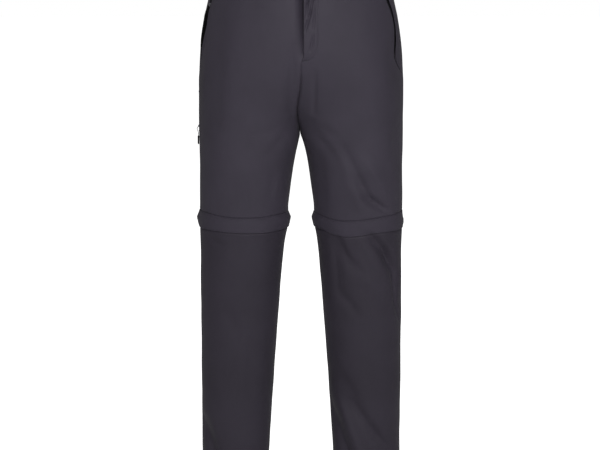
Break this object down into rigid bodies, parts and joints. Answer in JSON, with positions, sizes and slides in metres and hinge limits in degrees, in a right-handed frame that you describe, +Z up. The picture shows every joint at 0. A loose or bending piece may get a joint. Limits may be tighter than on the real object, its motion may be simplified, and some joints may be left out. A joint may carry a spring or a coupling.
{
  "type": "convertible zip-off trousers",
  "caption": "Long woven trousers, hollow as when worn, with a fly, zipped hand and thigh pockets, and lower legs that zip off under a flap at the knee.",
  "frame": {"origin": "middle of the waist opening, level with the top edge of the waistband", "axes": "+Z up along the body, -Y towards the front (the fly), +X towards the wearer's left leg"},
  "size_m": [0.4161, 0.2716, 1.1001],
  "materials": {
    "cloth_upper": "smooth woven, soft sheen",
    "cloth_lower": "smooth woven, soft sheen",
    "cloth_flap": "smooth woven, soft sheen",
    "zip_tape": "black woven tape with a nylon coil",
    "slider": "satin grey",
    "pull": "moulded, matt",
    "button": "polished"
  },
  "bodies": {
    "trousers": {"waistband": "cloth_upper", "waist_button": "button", "front_left": "cloth_upper", "front_right": "cloth_upper", "back_left": "cloth_upper", "back_right": "cloth_upper", "pocket_facing_left": "cloth_upper", "pocket_facing_right": "cloth_upper", "hand_pocket_zip_left": "zip_tape", "hand_pocket_zip_right": "zip_tape", "hand_pocket_slider_left": "slider", "hand_pocket_slider_right": "slider", "thigh_pocket_zip": "zip_tape", "thigh_pocket_slider": "slider", "fly_zip": "zip_tape", "fly_slider": "slider", "knee_flap_left": "cloth_flap", "knee_flap_right": "cloth_flap", "knee_zip_left": "zip_tape", "knee_zip_right": "zip_tape", "knee_slider_left": "slider", "knee_slider_right": "slider", "lower_front_left": "cloth_lower", "lower_front_right": "cloth_lower", "lower_back_left": "cloth_lower", "lower_back_right": "cloth_lower"},
    "hand_pull_left": {"hand_pocket_pull_left": "pull"},
    "hand_pull_right": {"hand_pocket_pull_right": "pull"},
    "thigh_pull": {"thigh_pocket_pull": "pull"}
  },
  "joints": [
    {"name": "hand_pull_left_swing", "type": "hinge", "parent": "trousers", "child": "hand_pull_left", "pos_m": [0.15976, -0.05756, -0.05577], "axis": [-0.5022, -0.8358, -0.2219], "range_deg": [0, 150]},
    {"name": "hand_pull_right_swing", "type": "hinge", "parent": "trousers", "child": "hand_pull_right", "pos_m": [-0.17977, -0.03589, -0.09773], "axis": [-0.3025, 0.9369, 0.1751], "range_deg": [0, 150]},
    {"name": "thigh_pull_swing", "type": "hinge", "parent": "trousers", "child": "thigh_pull", "pos_m": [-0.2033, 0, -0.337], "axis": [0, 1, 0], "range_deg": [0, 150]}
  ]
}
